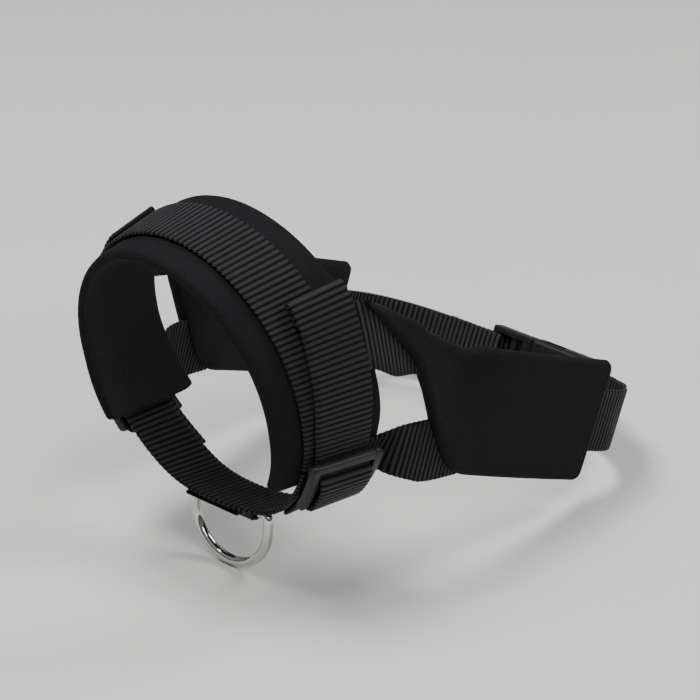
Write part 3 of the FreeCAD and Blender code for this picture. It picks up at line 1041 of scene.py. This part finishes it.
def humpPlaces():
    # up through the upper slot, over the middle and lower bars, and turned under
    rows = []
    for turn, out in (
        (-6.2, sliderBase + 0.6 * mm),
        (-6.1, sliderBase + 2.4 * mm),
        (-5.2, sliderTop + 0.3 * mm),
        (-2.8, sliderTop + 1.2 * mm),
        (0.0, sliderTop + 1.5 * mm),
        (4.0, sliderTop + 1.4 * mm),
        (8.6, sliderTop + 1.2 * mm),
        (12.0, sliderTop + 0.4 * mm),
        (13.6, sliderTop - 1.3 * mm),
        (13.6, sliderBase + 1.4 * mm),
        (12.6, sliderBase + 0.8 * mm),
    ):
        p, w, n = sliderPlace(sliderShape["centre"] + turn * perMm, out)
        rows.append((p, w))
    places = []
    for i, (p, w) in enumerate(rows):
        along = rows[min(len(rows) - 1, i + 1)][0] - rows[max(0, i - 1)][0]
        places.append([p, w, along.cross(w).normalized()])
    return places


hump = humpPlaces()
dress(ribbon("leftSliderWrap", hump), "left_slider", ["left_slider_wrap"])
dress(ribbon("rightSliderWrap", mirroredPlaces(hump), True), "right_slider", ["right_slider_wrap"])


def softened(node, name, width):
    # the frame's own part with its edges broken
    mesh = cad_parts[node].data.copy()
    piece = bpy.data.objects.new(name, mesh)
    bpy.context.collection.objects.link(piece)
    weld = piece.modifiers.new("weld", "WELD")
    weld.merge_threshold = 0.004 * mm
    bevel = piece.modifiers.new("bevel", "BEVEL")
    bevel.width = width
    bevel.segments = 2
    bevel.limit_method = "ANGLE"
    bevel.angle_limit = math.radians(38)
    even = piece.modifiers.new("even", "WEIGHTED_NORMAL")
    even.weight = 100
    mesh.shade_smooth()
    made = bpy.data.meshes.new_from_object(piece.evaluated_get(bpy.context.evaluated_depsgraph_get()))
    piece.modifiers.clear()
    piece.data = made
    made.materials.clear()
    made.materials.append(mouldedPlastic)
    return piece


for node, name, body in (
    ("buckle_socket", "buckleSocket", "harness"),
    ("buckle_plug", "bucklePlug", "plug"),
    ("buckle_upper_prong", "upperProng", "upper_prong"),
    ("buckle_lower_prong", "lowerProng", "lower_prong"),
):
    dress(softened(node, name, 0.35 * mm), body, [node])
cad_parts["d_ring"].data.materials.clear()
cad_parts["d_ring"].data.materials.append(nickelWire)


def keeperPlaces():
    # down from the chin strap, round the ring's bar and back up behind it
    y0 = loop["chinY"] / mm
    z0 = -loop["chinDrop"] / mm
    r = 3.1
    tilt = math.radians(8.0)
    points = [(y0 + a, z0 - 2.9 - a * math.sin(tilt)) for a in (-12.0, -7.5)] + [(y0 - 4.2, z0 - 3.4)]
    for angle in range(200, 341, 20):
        turn = math.radians(angle)
        points.append((y0 + r * math.cos(turn), z0 - 4.6 + r * math.sin(turn)))
    points.append((y0 + 4.2, z0 - 4.2))
    points += [(y0 + a, z0 - 3.0 - a * math.sin(tilt)) for a in (7.5, 12.0)]
    places = []
    for i, (y, z) in enumerate(points):
        before = points[max(0, i - 1)]
        after = points[min(len(points) - 1, i + 1)]
        along = Vector((0, after[0] - before[0], after[1] - before[1])).normalized()
        width = Vector((-1, 0, 0))
        places.append([Vector((0, y, z)) * mm, width, along.cross(width)])
    return places


dress(ribbon("ringKeeper", keeperPlaces()), "harness", ["d_ring_keeper"])

print("stitching")
top = webbing["thick"] / 2 - 0.12 * mm
edge = webbing["wide"] / 2 - 2.4 * mm
lines = [sewnLine(noseRun, side * edge, top) for side in (-1, 1)]
dress(thread("noseStitches", lines), "harness")
for side, flip in (("left", False), ("right", True)):
    run = mirroredPlaces(cheekRun) if flip else cheekRun
    lines = [sewnLine(run[5:22], k * edge, top) for k in (-1, 1)]
    dress(thread(side + "CheekStitches", lines), "harness")


def padOutline(flip, inset, out):
    # once round the pad's outer face, a little inside its edge
    rows = neckPadRows()[1:-1]
    rows.append((neckPlace(neckPad["back"] - inset), -neckPad["half"], neckPad["half"]))
    low = [shifted(place, a + inset, out) for place, a, b in rows]
    high = [shifted(place, b - inset, out) for place, a, b in rows]
    ring = low + high[::-1] + [low[0]]
    ring = mirroredPlaces(ring) if flip else ring
    path = resampled(ring, 1.0 * mm, False)
    return [(Vector(p), Vector(n)) for p, n in zip(path[0], path[2])]


def laidOn(line, piece):
    # drops each point of a line onto the face below it
    laid = []
    for p, n in line:
        found, place, normal, face = piece.ray_cast(p + n * 4 * mm, -n, distance=9 * mm)
        if found:
            laid.append((place + normal * 0.06 * mm, normal))
    return laid


for side, flip in (("left", False), ("right", True)):
    line = laidOn(padOutline(flip, neckPad["seam"], neckPad["cover"]), neckPads[side])
    dress(thread(side + "PadStitches", [line]), "harness")
